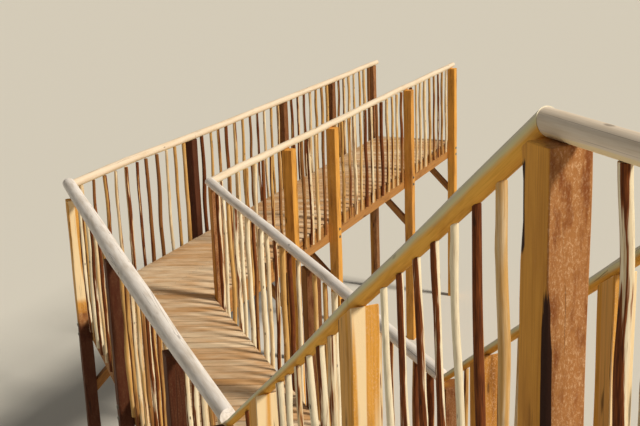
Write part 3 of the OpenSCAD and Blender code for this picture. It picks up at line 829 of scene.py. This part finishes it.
@dataclass
class LimbShape:
    """How a limb is grown round its centre line.

    spacing is the step between its rings, stray how far it sways, girth the share by which its
    thickness varies, and lift the share of a lying log's sway that goes up and down. flat_share tells
    how far below its middle a lying log is cut flat, as a share of its radius, or 0 for no such cut.
    """

    spacing: float
    sides: int
    stray: float
    stray_every: float
    girth: float
    knots_per_m: float
    knot_height: float
    flat_share: float
    end_round: float
    fill: float = 0.985
    lift: float = 0.35
    still_ends: float = 0.12
    lobes: tuple[float, float] = (0.018, 0.012)
    knot_turn: float = 0.55

    def grow(self, limb: Limb, mesh: Mesh, bark: float, tone: float, dice: random.Random,
             bark_side: float | None = None) -> None:
        """Grows one limb and adds it to a mesh.

        Args:
            limb: The rings to follow.
            mesh: The mesh that takes it.
            bark: Its share of bark, or of tan.
            tone: Its tone, from pale to deep.
            dice: The seeded source of chance.
            bark_side: Angle of the side that keeps its bark, or None for a log that has weathered from above.
        """
        at = np.concatenate([[0.0], np.cumsum(np.linalg.norm(np.diff(limb.centres, axis=0), axis=1))])
        length = at[-1]
        count = max(6, int(round(length / self.spacing)))
        run = np.linspace(0.0, length, count + 1)
        centre = np.stack([spline(at, limb.centres[:, k], run) for k in range(3)], axis=1)
        way = np.gradient(centre, axis=0)
        way /= np.linalg.norm(way, axis=1)[:, None]
        upright = abs(way[0][2]) > 0.8
        side = np.cross(way, np.array([0.0, 1.0, 0.0]) if upright else np.array([0.0, 0.0, 1.0]))
        side /= np.linalg.norm(side, axis=1)[:, None]
        up = np.cross(side, way)
        window = np.clip(np.minimum(run, length - run) / self.still_ends, 0.0, 1.0)
        bends = np.linspace(0.0, length, max(3, int(length / self.stray_every) + 2))
        for direction, share in ((side, 1.0), (up, 1.0 if upright else self.lift)):
            sway = np.array([0.0] + [dice.uniform(-1, 1) for _ in range(len(bends) - 2)] + [0.0])
            centre = centre + direction * (spline(bends, sway, run) * self.stray * share * window)[:, None]
        turn = (np.arange(self.sides) + 0.5) * 2 * math.pi / self.sides
        girth = np.interp(run, at, limb.radii)
        reach = self.reach(girth, run, bends, turn, dice)
        across, above = reach * np.cos(turn), reach * np.sin(turn)
        if self.flat_share:
            above = np.maximum(above, -girth[:, None] * self.flat_share)
        out = across[..., None] * side[:, None] + above[..., None] * up[:, None]
        points = centre[:, None] + out
        # both ends are cut where the solid's are
        for ring, (on, normal) in ((0, limb.start), (-1, limb.end)):
            slide = ((on - points[ring]) @ normal) / (way[ring] @ normal)
            points[ring] = points[ring] + slide[:, None] * way[ring]
        seed = dice.uniform(0, 40)
        along = np.broadcast_to(run[:, None], across.shape)
        grain = np.stack([across + seed, above + seed * 0.7, along + seed * 1.3], axis=2)
        if bark_side is None:
            third = out[..., 2] / np.maximum(reach, 1e-6)
        else:
            third = np.broadcast_to(np.cos(turn - bark_side), across.shape)
        trait = np.stack([np.full_like(across, bark), np.full_like(across, tone), third], axis=2)
        faces = band(count, self.sides)
        every, grains, traits = (values.reshape(-1, 3) for values in (points, grain, trait))
        # each end has its edge worn round, then a flat face
        for ring in (0, count):
            first, n = len(every), self.sides
            middle = points[ring].mean(axis=0)
            every = np.concatenate([every, middle + (points[ring] - middle) * (1 - self.end_round), [middle]])
            grains = np.concatenate([grains, grain[ring], [grain[ring].mean(axis=0)]])
            traits = np.concatenate([traits, trait[ring], [trait[ring].mean(axis=0)]])
            for i in range(n):
                a, b = (i, (i + 1) % n) if ring else ((i + 1) % n, i)
                faces += [(ring * n + a, ring * n + b, first + b, first + a), (first + a, first + b, first + n)]
        if np.dot(np.cross(side[0], up[0]), way[0]) < 0:
            faces = [face[::-1] for face in faces]
        mesh.take(every, faces, grains, traits)

    def reach(self, girth: np.ndarray, run: np.ndarray, bends: np.ndarray, turn: np.ndarray,
              dice: random.Random) -> np.ndarray:
        """Finds how far the surface stands from the centre line.

        Args:
            girth: The solid's radius at each ring.
            run: Each ring's distance along the limb.
            bends: Where the thickness is drawn by chance.
            turn: The angle of each point of a ring.
            dice: The seeded source of chance.

        Returns:
            The distance for each ring and angle.
        """
        swell = spline(bends, np.array([dice.uniform(-1, 1) for _ in bends]), run)
        radius = girth * self.fill * (1 + self.girth * (swell - 1) / 2)
        double, triple = (size * np.cos(fold * turn + dice.uniform(0, 6))
                          for fold, size in zip((2, 3), self.lobes))
        lobes = 1 + double + triple
        found = radius[:, None] * (lobes / lobes.max())[None, :]
        length = run[-1]
        for _ in range(int(self.knots_per_m * length)):
            where, facing = dice.uniform(0.05, max(0.06, length - 0.05)), dice.uniform(0, 2 * math.pi)
            height = self.knot_height * dice.uniform(0.4, 1.0)
            span = dice.uniform(0.8, 1.5) * max(self.spacing, 0.02)
            turned = (turn - facing + math.pi) % (2 * math.pi) - math.pi
            swelling = np.exp(-((run - where) / span) ** 2)[:, None]
            found += height * swelling * np.exp(-(turned / self.knot_turn) ** 2)[None, :]
        return found


def spline(at: np.ndarray, values: np.ndarray, where: np.ndarray) -> np.ndarray:
    """Returns a smooth curve through values, with slopes taken from their neighbours.

    Args:
        at: Where the values stand, rising.
        values: The values.
        where: The places to read.

    Returns:
        The curve at those places.
    """
    slope = np.gradient(values, at)
    k = np.clip(np.searchsorted(at, where, side="right") - 1, 0, len(at) - 2)
    gap = at[k + 1] - at[k]
    t = np.clip((where - at[k]) / gap, 0.0, 1.0)
    return ((2 * t ** 3 - 3 * t ** 2 + 1) * values[k] + (t ** 3 - 2 * t ** 2 + t) * gap * slope[k]
            + (3 * t ** 2 - 2 * t ** 3) * values[k + 1] + (t ** 3 - t ** 2) * gap * slope[k + 1])


@dataclass
class Handrails:
    """The peeled logs that lie on the post tops."""

    ring_points: int = 12
    tone: tuple[float, float] = (0.1, 0.6)
    # the stair logs take a deep tone, which gives them the painted bounce light and the painted green skylight
    tones: dict[Stretch, tuple[float, float]] = field(default_factory=lambda: {Stretch.STAIR: (0.95, 1.1)})
    tans: dict[Stretch, float] = field(default_factory=lambda: {Stretch.BRANCH: 0.6, Stretch.LANDING: 0.4})
    shape: LimbShape = field(default_factory=lambda: LimbShape(
        spacing=0.035, sides=24, stray=0.006, stray_every=0.55, girth=0.06, knots_per_m=2.6, knot_height=0.0045,
        flat_share=0.962, end_round=0.12))

    def build(self) -> None:
        """Grows one log for each handrail node."""
        for node in nodes_of("handrail_"):
            dice, mesh, stretch = random.Random(node), Mesh(), Stretch.of(node)
            tone = dice.uniform(*self.tones.get(stretch, self.tone))
            limb = Limb.read(solids(node)[0], self.ring_points)
            self.shape.grow(limb, mesh, self.tans.get(stretch, 0.0), tone, dice)
            mesh.piece(node.replace("handrail", "log"), PeeledLog(), "peeled_log", 50.0, (node,))


@dataclass
class Balusters:
    """The crooked poles between the beams and the handrails.

    barks holds the share of bark and the tone of the poles nearest to the camera, one by one.
    """

    ring_points: int = 6
    shape: LimbShape = field(default_factory=lambda: LimbShape(
        spacing=0.034, sides=10, stray=0.0045, stray_every=0.24, girth=0.14, knots_per_m=4.0, knot_height=0.004,
        flat_share=0.0, end_round=0.15, fill=1.0))
    share_in_bark: float = 0.14
    in_bark: tuple[float, float] = (0.5, 0.66)
    stripped: tuple[float, float] = (0.18, 0.46)
    # on the left panels the bark is kept on the side away from the lamp, as partly painted shade
    shaded_bark_side: tuple[float, float] = (-0.17, 0.35)
    pale: tuple[float, float] = (0.0, 0.3)
    honey: tuple[float, float] = (0.3, 0.65)
    russet: tuple[float, float] = (0.65, 1.0)
    percent: tuple[int, int, int] = (55, 30, 15)
    deeper: dict[Stretch, float] = field(default_factory=lambda: {Stretch.WALK: 0.2, Stretch.BRANCH: 0.32})
    barks: dict[str, tuple[tuple[float, float], ...]] = field(default_factory=lambda: {
        "balusters_stair_left": ((0.2, 0.6), (0.62, 0.8), (0.22, 0.12), (0.45, 0.0), (0.43, 0.1), (0.46, 0.0),
                                 (0.25, 0.1))})

    def build(self) -> None:
        """Grows the poles of each panel."""
        for node in nodes_of("balusters_"):
            dice, mesh = random.Random(node), Mesh()
            known = self.barks.get(node, ())
            every = sorted(solids(node), key=lambda p: (round(float(p[:, 1].mean()), 3), float(p[:, 0].mean())))
            for place, points in enumerate(every):
                barky = dice.random() < self.share_in_bark
                bark = dice.uniform(*(self.in_bark if barky else self.stripped))
                tone = dice.uniform(*dice.choices((self.pale, self.honey, self.russet), self.percent)[0])
                tone += self.deeper.get(Stretch.of(node), 0.0)
                if place < len(known):
                    bark, tone = known[place]
                # on the left the barked sides are turned out, to -X and away from the lamp, so that their dark
                # bark is partly painted shade; elsewhere they face any way
                bark_side = dice.gauss(*self.shaded_bark_side) if "left" in node else dice.uniform(0, 2 * math.pi)
                self.shape.grow(Limb.read(points, self.ring_points), mesh, bark, tone, dice, bark_side)
            mesh.piece(node.replace("balusters", "poles"), PeeledPole(), "peeled_pole", 50.0, (node,))


# --- Sawn timbers ---------------------------------------------------------------------------------

@dataclass(frozen=True)
class Wane:
    """A corner of a post where the tree's own roundness and some bark are left."""

    corner_deg: float
    low: float
    high: float
    fade: float = 0.2
    deep: float = 0.010

    def share(self, height: float) -> float:
        """Returns the share of its full depth at a height."""
        return min(1.0, max(0.0, (height - self.low) / self.fade), max(0.0, (self.high - height) / self.fade))


@dataclass(frozen=True)
class SunlitTop:
    """The top of a post that is left out of the painted shade of the rest and painted fresh cream on its rough
    faces, as painted sunlight.
    """

    place: int
    height: float
    tone: float
    fade: float = 0.25


@dataclass
class SawnPieces:
    """The posts, beams, joists, stringers and braces, sawn and a little uneven.

    wanes, tones and tops hold the looks of single posts, which are counted along Y. Tones from 0.9 up are
    painted shade, and a top may be left out of it and painted fresh cream, as painted sunlight.
    strip is the width of the faces beside a corner, so that a wane stays narrow, and corner_cos picks
    the points of the corner itself. waves and twist, in radians a metre, tell how fast the unevenness
    changes along a timber and across it.
    """

    slice_every: float = 0.09
    uneven: float = 0.0011
    waves: tuple[float, float] = (9.0, 7.0)
    twist: float = 40.0
    still_ends: float = 0.03
    edge_round: float = 0.0025
    edge_rad: float = 0.9
    waney_share: float = 0.4
    strip: float = 0.027
    corner_cos: float = 0.985
    wanes: dict[tuple[str, int], tuple[Wane, ...]] = field(default_factory=lambda: {
        ("posts_stair_left", 0): (Wane(-135.0, 0.0, 4.8, 0.25, 0.011), Wane(135.0, 4.72, 4.97, 0.06, 0.007))})
    # tones from 0.9 up paint shade on a post; tones below 0 give fresh cut posts whose cream is partly painted
    # sunlight
    tones: dict[str, tuple[float, ...]] = field(default_factory=lambda: {
        "posts_stair_left": (0.65, -0.5, -0.5), "posts_stair_right": (-0.45, -0.5, 0.4),
        "posts_walk_left": (1.5, 1.5, 1.5, 1.4), "posts_walk_right": (1.15, 1.2, 1.04),
        "posts_branch_outer": (1.6, 1.2, 1.2, 1.1)})
    known_rough: tuple[float, ...] = (0.5, 0.4, 0.1, 1.0)
    sunlit_tops: dict[str, SunlitTop] = field(default_factory=lambda: {"posts_walk_left": SunlitTop(3, 2.23, -0.4)})

    def build(self) -> None:
        """Dresses every sawn node."""
        posts = SawnTimber()
        beams = SawnTimber(name="sawn_beam", light="B07C42", heart="84532A", stain_and_shade="452A14", fleck="C39560")
        for node in sorted(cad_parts):
            kind = node.split("_")[0]
            if kind == "posts":
                self.dress(node, posts, True)
            elif kind in ("beams", "joists", "stringer", "braces"):
                self.dress(node, beams, False)

    def dress(self, node: str, finish: Finish, waney: bool) -> None:
        """Copies a node's solids, rounds and unevens their edges and dresses them.

        Args:
            node: The frame's node.
            finish: Its finish.
            waney: Whether a corner may keep a strip of bark.
        """
        dice = random.Random(node)
        shape = welded(node)
        bmesh.ops.dissolve_limit(shape, angle_limit=0.01, verts=shape.verts, edges=shape.edges)
        for solid in islands(shape):
            self.slice(shape, solid, waney)
        edges = [e for e in shape.edges if len(e.link_faces) == 2 and e.calc_face_angle(0.0) > self.edge_rad]
        bmesh.ops.bevel(shape, geom=edges, offset=self.edge_round, segments=1, profile=0.5, affect="EDGES")
        shape.verts.ensure_lookup_table()
        shape.verts.index_update()
        grain, trait = np.zeros((len(shape.verts), 3)), np.zeros((len(shape.verts), 3))
        for place, solid in enumerate(sorted(islands(shape), key=lambda group: group[0].co.y)):
            self.wear(node, place, solid, waney, dice, grain, trait)
        mesh = bpy.data.meshes.new("sawn_" + node)
        shape.to_mesh(mesh)
        shape.free()
        settle(mesh, grain, trait, "sawn_" + node, finish, 25.0, (node,))

    @staticmethod
    def axis_of(solid: list[bmesh.types.BMVert]) -> Vector:
        """Returns the direction of a solid's length."""
        return Vector(long_axis(np.array([tuple(v.co) for v in solid])))

    def slice(self, shape: bmesh.types.BMesh, solid: list[bmesh.types.BMVert], waney: bool) -> None:
        """Cuts rings of points into a solid, so that it can be uneven.

        Args:
            shape: The shape that holds it.
            solid: Its points.
            waney: Whether it needs points beside its corners too.
        """
        axis = self.axis_of(solid)
        spots = [v.co.dot(axis) for v in solid]
        low, high = min(spots), max(spots)
        steps = int((high - low) / self.slice_every)
        # dictionaries keep their order where sets don't, so that each run cuts alike
        faces = list(dict.fromkeys(f for v in solid for f in v.link_faces))
        geometry = list(solid) + list(dict.fromkeys(e for v in solid for e in v.link_edges)) + faces
        cuts = [(axis * (low + (high - low) * k / steps), axis) for k in range(1, steps)]
        if waney:
            flat = max((f for f in faces if abs(f.normal.dot(axis)) < 0.1), key=lambda f: f.calc_area())
            for line in (flat.normal.copy(), flat.normal.cross(axis)):
                reach = [v.co.dot(line) for v in solid]
                cuts += [(line * (min(reach) + self.strip), line), (line * (max(reach) - self.strip), line)]
        for place, normal in cuts:
            cut = bmesh.ops.bisect_plane(shape, geom=geometry, plane_co=place, plane_no=normal, dist=1e-6)
            geometry = list(dict.fromkeys(list(cut["geom"]) + list(cut["geom_cut"])))

    def wear(self, node: str, place: int, solid: list[bmesh.types.BMVert], waney: bool, dice: random.Random,
             grain: np.ndarray, trait: np.ndarray) -> None:
        """Unevens a solid and gives its points their values.

        Args:
            node: The frame's node.
            place: The solid's place in the node, counted along Y.
            solid: Its points.
            waney: Whether a corner may keep a strip of bark.
            dice: The seeded source of chance.
            grain: Takes each point's place in the timber's own frame.
            trait: Takes each point's bark, tone and roughness.
        """
        axis = self.axis_of(solid)
        across = Vector((1.0, 0.0, 0.0)) if abs(axis.z) > 0.9 else axis.orthogonal().normalized()
        other = axis.cross(across).normalized()
        known = node in self.tones
        seed, tone = dice.uniform(0, 40), dice.uniform(0.0, 0.5)
        if known:
            tone = self.tones[node][place]
        middle = Vector()
        for line in (across, other):
            middle += line * (min(v.co.dot(line) for v in solid) + max(v.co.dot(line) for v in solid)) / 2
        low = min(v.co.dot(axis) for v in solid)
        span = max(v.co.dot(axis) for v in solid) - low
        corner, centre, half = dice.randrange(4) * 90.0 + 45.0, dice.uniform(0.1, 0.8), dice.uniform(0.15, 0.4)
        wanes = self.wanes.get((node, place), ())
        if waney and dice.random() < self.waney_share and not known:
            wanes = (Wane(corner, low + span * (centre - half), low + span * (centre + half)),)
        # the last two phases are spare, and are drawn so that the later draws keep their places
        phases = [dice.uniform(0, 6.28) for _ in range(4)]
        rough = [dice.uniform(0.0, 1.0) for _ in range(4)]
        if known:
            # of these the face towards -Y is the roughest; it faces the lamp, and on the fresh cut posts its
            # cream is partly painted sunlight
            rough = self.known_rough
        dry = self.sunlit_tops.get(node)
        for v in solid:
            off = v.co - middle
            along, x, y = v.co.dot(axis) - low, off.dot(across), off.dot(other)
            grain[v.index] = (x + seed, y + seed * 0.7, along + seed * 1.3)
            here = tone
            # painted sunlight on the top of one post: above the given height its tone fades to the top's own
            if dry and place == dry.place:
                here += (dry.tone - tone) * min(1.0, max(0.0, (v.co.z - dry.height) / dry.fade + 0.5))
            side = int((math.atan2(y, x) / (math.pi / 2) + 4.5) % 4)
            trait[v.index] = (0.0, here, rough[side])
            shift = Vector((math.sin(along * self.waves[0] + phases[0] + y * self.twist),
                            math.cos(along * self.waves[1] + phases[1] + x * self.twist))) * self.uneven
            for wane in wanes:
                turn = math.radians(wane.corner_deg)
                if math.cos(math.atan2(y, x) - turn) > self.corner_cos:
                    share = wane.share(along + low)
                    v.co -= (across * math.cos(turn) + other * math.sin(turn)) * wane.deep * share
                    trait[v.index][0] = share
            if span - self.still_ends > along > self.still_ends:
                v.co += across * shift.x + other * shift.y


# --- Decks and treads -----------------------------------------------------------------------------

@dataclass
class Boards:
    """Deck boards and tread boards, cut to the frame's outlines, and their nails.

    nail_lines are the shares of a board's width at which it is nailed, and tread_ends those of a
    tread's length. nail_heights are those of a head's rim and crown over the board.
    """

    width: float = 0.105
    width_off: float = 0.004
    gap: float = 0.007
    gap_off: float = 0.002
    bend_deg: float = 45.0
    ragged: float = 0.006
    lower_by: float = 0.0012
    arris: float = 0.004
    nail_radius: float = 0.0035
    nail_crown: float = 0.85
    nail_heights: tuple[float, float] = (-0.002, 0.0006)
    nail_inset: float = 0.026
    nail_room: float = 0.012
    nail_lines: tuple[float, float] = (0.25, 0.75)
    tread_nail_lines: tuple[float, float] = (0.3, 0.7)
    tread_ends: tuple[float, float] = (0.034, 0.966)
    nails: Mesh = field(default_factory=Mesh)

    def build(self) -> None:
        """Lays the boards of each deck and tread, and drives their nails."""
        for node in nodes_of("deck_"):
            self.deck(node)
        self.treads()
        self.nails.piece("deck_nails", ZincPlate(), "sawn_beam", 30.0)

    def deck(self, node: str) -> None:
        """Lays boards across one deck.

        Args:
            node: The frame's node.
        """
        dice, mesh = random.Random(node), Mesh()
        points = solids(node)[0]
        top, low = float(points[:, 2].max()), float(points[:, 2].min())
        outline = flat_hull(points)
        sides = np.roll(outline, -1, axis=0) - outline
        length = sides[int(np.argmax(np.linalg.norm(sides, axis=1)))]
        length = length / np.linalg.norm(length) * (1 if length[1] > 0 else -1)
        way = length
        if node != "deck_landing":
            # on the walk and the branch the boards keep the slant of the joint between the two
            half = math.radians(self.bend_deg / 2)
            way = np.array([math.sin(half), math.cos(half)]) * (-1 if node == "deck_walk" else 1)
        across = np.array([way[1], -way[0]])
        spots, widths = outline @ way, outline @ across
        first, last = float(widths.min()) - 1, float(widths.max()) + 1
        place = float(spots.min()) + 0.001
        while place < spots.max() - 0.03:
            wide = self.width + dice.uniform(-self.width_off, self.width_off)
            strip = np.array([way * a + across * b for a, b in ((place, first), (place, last),
                                                                (place + wide, last), (place + wide, first))])
            board = clip(strip, outline)
            if len(board) > 2:
                ragged = [dice.uniform(0, self.ragged), dice.uniform(0, self.ragged)]
                shift = np.where((board - board.mean(axis=0)) @ across > 0, -ragged[0], ragged[1])
                board = board + shift[:, None] * across
                self.board(mesh, board, top - dice.uniform(0, self.lower_by), low, across, dice)
                self.nail(board, top, across, way, outline, length)
            place += wide + self.gap + dice.uniform(-self.gap_off, self.gap_off)
        mesh.piece(node.replace("deck", "boards"), DeckBoard(), "deck_board", 35.0, (node,))

    def treads(self) -> None:
        """Lays two boards on each tread."""
        dice, mesh = random.Random("treads"), Mesh()
        for points in sorted(solids("stair_treads"), key=lambda p: float(p[:, 2].max())):
            top, low = float(points[:, 2].max()), float(points[:, 2].min())
            outline = flat_hull(points)
            sides = np.roll(outline, -1, axis=0) - outline
            first = int(np.argmax(np.linalg.norm(sides, axis=1)))
            corner, along, deep = outline[first], sides[first], sides[(first + 1) % 4]
            share = 0.5 - self.gap / np.linalg.norm(deep) / 2
            for start in (0.0, 1.0 - share):
                near, far = corner + deep * start, corner + deep * (start + share)
                self.board(mesh, np.array([near, near + along, far + along, far]), top, low,
                           along / np.linalg.norm(along), dice)
                for end in self.tread_ends:
                    for line in self.tread_nail_lines:
                        self.head(near + (far - near) * line + along * end, top)
        mesh.piece("tread_boards", DeckBoard(), "deck_board", 35.0, ("stair_treads",))

    def board(self, mesh: Mesh, outline: np.ndarray, top: float, low: float, along: np.ndarray,
              dice: random.Random) -> None:
        """Adds one board with its top arrises taken off.

        Args:
            mesh: The mesh that takes it.
            outline: Its outline in plan, anticlockwise.
            top: Height of its top.
            low: Height of its underside.
            along: Direction of its grain in plan.
            dice: The seeded source of chance.
        """
        n = len(outline)
        points, grain, trait = [], [], []
        seed, tone = dice.uniform(0, 40), dice.uniform(0.25, 0.75)
        other = np.array([-along[1], along[0]])
        for ring, z, edge in ((outline, low, 1.0), (outline, top - self.arris, 0.7),
                              (shrink(outline, self.arris), top, 0.0)):
            for p in ring:
                points.append((p[0], p[1], z))
                grain.append((p @ other + seed, z + seed * 0.7, p @ along + seed * 1.3))
                trait.append((edge, tone, 0.0))
        faces = [tuple(range(n - 1, -1, -1)), tuple(range(2 * n, 3 * n))] + band(2, n)
        mesh.take(np.array(points), faces, np.array(grain), np.array(trait))

    def nail(self, board: np.ndarray, top: float, across: np.ndarray, way: np.ndarray, outline: np.ndarray,
             length: np.ndarray) -> None:
        """Drives two nails through a board over each beam and over the middle joist.

        Args:
            board: The board's outline.
            top: Height of the deck.
            across: Direction of the board's length.
            way: Direction of the board's width.
            outline: The deck's outline.
            length: Direction of the deck's length, and of its beams.
        """
        out = np.array([length[1], -length[0]])
        low, high = float((outline @ out).min()), float((outline @ out).max())
        spots = board @ way
        for line in (low + self.nail_inset, (low + high) / 2, high - self.nail_inset):
            for share in self.nail_lines:
                spot = spots.min() + (spots.max() - spots.min()) * share
                place = way * spot + across * (line - spot * float(way @ out)) / float(across @ out)
                if inside(place, shrink(board, self.nail_room)):
                    self.head(place, top)

    def head(self, place: np.ndarray, top: float) -> None:
        """Adds a flat nail head of eight sides, level with the wood.

        Args:
            place: Its middle in plan.
            top: Height of the board's top.
        """
        turn = np.arange(8) * math.pi / 4
        rim = np.stack([place[0] + self.nail_radius * np.cos(turn), place[1] + self.nail_radius * np.sin(turn),
                        np.full(8, top + self.nail_heights[0])], axis=1)
        crown = rim * 1.0
        crown[:, 2] = top + self.nail_heights[1]
        crown[:, :2] = place + (crown[:, :2] - place) * self.nail_crown
        self.nails.plug(rim, crown)


@dataclass
class Bolts:
    """Coach bolts that hold each post to the beam or stringer beside it.

    washer and hexagon give each one's sides, radius and the two heights between which it stands out
    of the post. reach is how far a rail's middle may be from the post's.
    """

    washer: tuple[int, float, float, float] = (16, 0.017, -0.002, 0.0025)
    hexagon: tuple[int, float, float, float] = (6, 0.011, 0.0025, 0.0095)
    spread: float = 0.042
    reach: tuple[float, float] = (0.03, 0.13)
    overhang: float = 0.02
    end_room: float = 0.05
    heads: Mesh = field(default_factory=Mesh)

    def build(self) -> None:
        """Puts two bolts through each post where a beam or a stringer passes it."""
        rails = [points for node in nodes_of(("beams_", "stringer")) for points in solids(node)]
        for node in nodes_of("posts_"):
            for post in solids(node):
                for rail in rails:
                    self.join(post, rail)
        self.heads.piece("coach_bolts", ZincPlate(), "sawn_beam", 30.0)

    def join(self, post: np.ndarray, rail: np.ndarray) -> None:
        """Bolts a post to a rail, if the rail passes close beside it.

        Args:
            post: The post's points.
            rail: The points of the beam or stringer.
        """
        middle, axis = rail.mean(axis=0), long_axis(rail)
        run = (rail - middle) @ axis
        foot = (post.min(axis=0) + post.max(axis=0)) / 2
        along = float((foot - middle)[:2] @ axis[:2]) / float(axis[:2] @ axis[:2])
        near = middle + axis * along
        out = np.array([foot[0] - near[0], foot[1] - near[1], 0.0])
        gap = float(np.linalg.norm(out))
        beside = run.min() - self.overhang < along < run.max() + self.overhang
        if not (beside and self.reach[0] < gap < self.reach[1]):
            return
        out /= gap
        face = foot + out * float(((post - foot) @ out).max())
        for step in (-self.spread, self.spread):
            if post[:, 2].min() + self.end_room < near[2] + step < post[:, 2].max() - self.end_room:
                self.bolt(np.array([face[0], face[1], near[2] + step]), out)

    def bolt(self, place: np.ndarray, out: np.ndarray) -> None:
        """Adds a washer and a hexagonal head that stand out of a face.

        Args:
            place: The middle of the washer on the post's face.
            out: The face's outward direction.
        """
        side, up = np.array([-out[1], out[0], 0.0]), np.array([0.0, 0.0, 1.0])
        for sides, radius, low, high in (self.washer, self.hexagon):
            turn = (np.arange(sides) * 2 * math.pi / sides)[:, None]
            ring = place + radius * (np.cos(turn) * side + np.sin(turn) * up)
            self.heads.plug(ring + out * low, ring + out * high)


# --- Studio ---------------------------------------------------------------------------------------

@dataclass
class Studio:
    """Pale floor, soft light and the camera at the photograph's angle."""

    eye: tuple[float, float, float] = (-1.176, -4.584, 5.54)
    heading_deg: float = 20.13
    pitch_deg: float = 15.99
    roll_deg: float = -2.02
    focal_px: float = 1134.4
    image_px: tuple[int, int] = (640, 426)
    sensor_mm: float = 36.0
    sees_to: float = 1000.0
    floor_half: float = 400.0
    floor_colour: str = "DAD7CF"
    lamp_colour: str = "FFF6E6"
    lamp_strength: float = 3.6
    lamp_deg: float = 11.0
    lamp_way: tuple[float, float, float] = (-0.78, 0.83, -1.0)
    sky: tuple[str, float] = ("F4F2EA", 0.17)
    backdrop: tuple[str, float] = ("D6CEBC", 1.0)

    def build(self) -> None:
        """Makes the floor, the lights and the camera."""
        self.floor()
        self.lights()
        self.camera()

    def floor(self) -> None:
        """Lays the pale floor at the feet."""
        mesh = bpy.data.meshes.new("floor")
        h = self.floor_half
        mesh.from_pydata([(-h, -h, 0), (h, -h, 0), (h, h, 0), (-h, h, 0)], [], [(0, 1, 2, 3)])
        floor = bpy.data.objects.new("floor", mesh)
        bpy.context.collection.objects.link(floor)
        made = bpy.data.materials.new("studio_floor")
        made.use_nodes = True
        shader = made.node_tree.nodes["Principled BSDF"]
        shader.inputs["Base Color"].default_value = linear(self.floor_colour)
        shader.inputs["Roughness"].default_value = 0.9
        mesh.materials.append(made)

    def lights(self) -> None:
        """Hangs one broad lamp high on the right and fills the rest from a pale sky."""
        lamp = bpy.data.lights.new("key", "SUN")
        lamp.energy = self.lamp_strength
        lamp.angle = math.radians(self.lamp_deg)
        lamp.color = linear(self.lamp_colour)[:3]
        key = bpy.data.objects.new("key", lamp)
        key.rotation_euler = Vector(self.lamp_way).to_track_quat("-Z", "Y").to_euler()
        bpy.context.collection.objects.link(key)
        world = bpy.data.worlds.new("sky")
        world.use_nodes = True
        tree = world.node_tree
        fill = tree.nodes["Background"]
        fill.inputs["Color"].default_value = linear(self.sky[0])
        fill.inputs["Strength"].default_value = self.sky[1]
        # above the floor's edge the camera and the steel see the floor's own pale tone
        backdrop = add(tree, "Background", [linear(self.backdrop[0]), self.backdrop[1]])
        path = add(tree, "LightPath").node.outputs
        seen = add(tree, "Math", [path["Is Camera Ray"], path["Is Glossy Ray"]], operation="MAXIMUM")
        shown = add(tree, "MixShader", [seen, fill.outputs[0], backdrop])
        tree.links.new(shown, tree.nodes["World Output"].inputs["Surface"])
        bpy.context.scene.world = world
        bpy.context.scene.view_settings.view_transform = "Standard"

    def camera(self) -> None:
        """Stands the camera where the photograph was taken."""
        heading, pitch, roll = (math.radians(a) for a in (self.heading_deg, self.pitch_deg, self.roll_deg))
        level = math.cos(pitch)
        ahead = Vector((math.sin(heading) * level, math.cos(heading) * level, -math.sin(pitch)))
        right = Vector((math.cos(heading), -math.sin(heading), 0.0))
        up = right.cross(ahead)
        tilted_right = right * math.cos(roll) + up * math.sin(roll)
        tilted_up = up * math.cos(roll) - right * math.sin(roll)
        turn = Matrix((tilted_right, tilted_up, -ahead)).transposed()
        lens = bpy.data.cameras.new("camera")
        lens.sensor_width = self.sensor_mm
        lens.lens = self.sensor_mm * self.focal_px / self.image_px[0]
        lens.clip_end = self.sees_to
        camera = bpy.data.objects.new("camera", lens)
        camera.matrix_world = Matrix.Translation(self.eye) @ turn.to_4x4()
        bpy.context.collection.objects.link(camera)
        bpy.context.scene.camera = camera


def main() -> None:
    """Builds the walkway's looks in order."""
    logging.basicConfig(level=logging.INFO, format="%(name)s: %(message)s")
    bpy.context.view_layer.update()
    Studio().build()
    Handrails().build()
    Balusters().build()
    SawnPieces().build()
    Boards().build()
    Bolts().build()


if __name__ == "__main__":
    main()
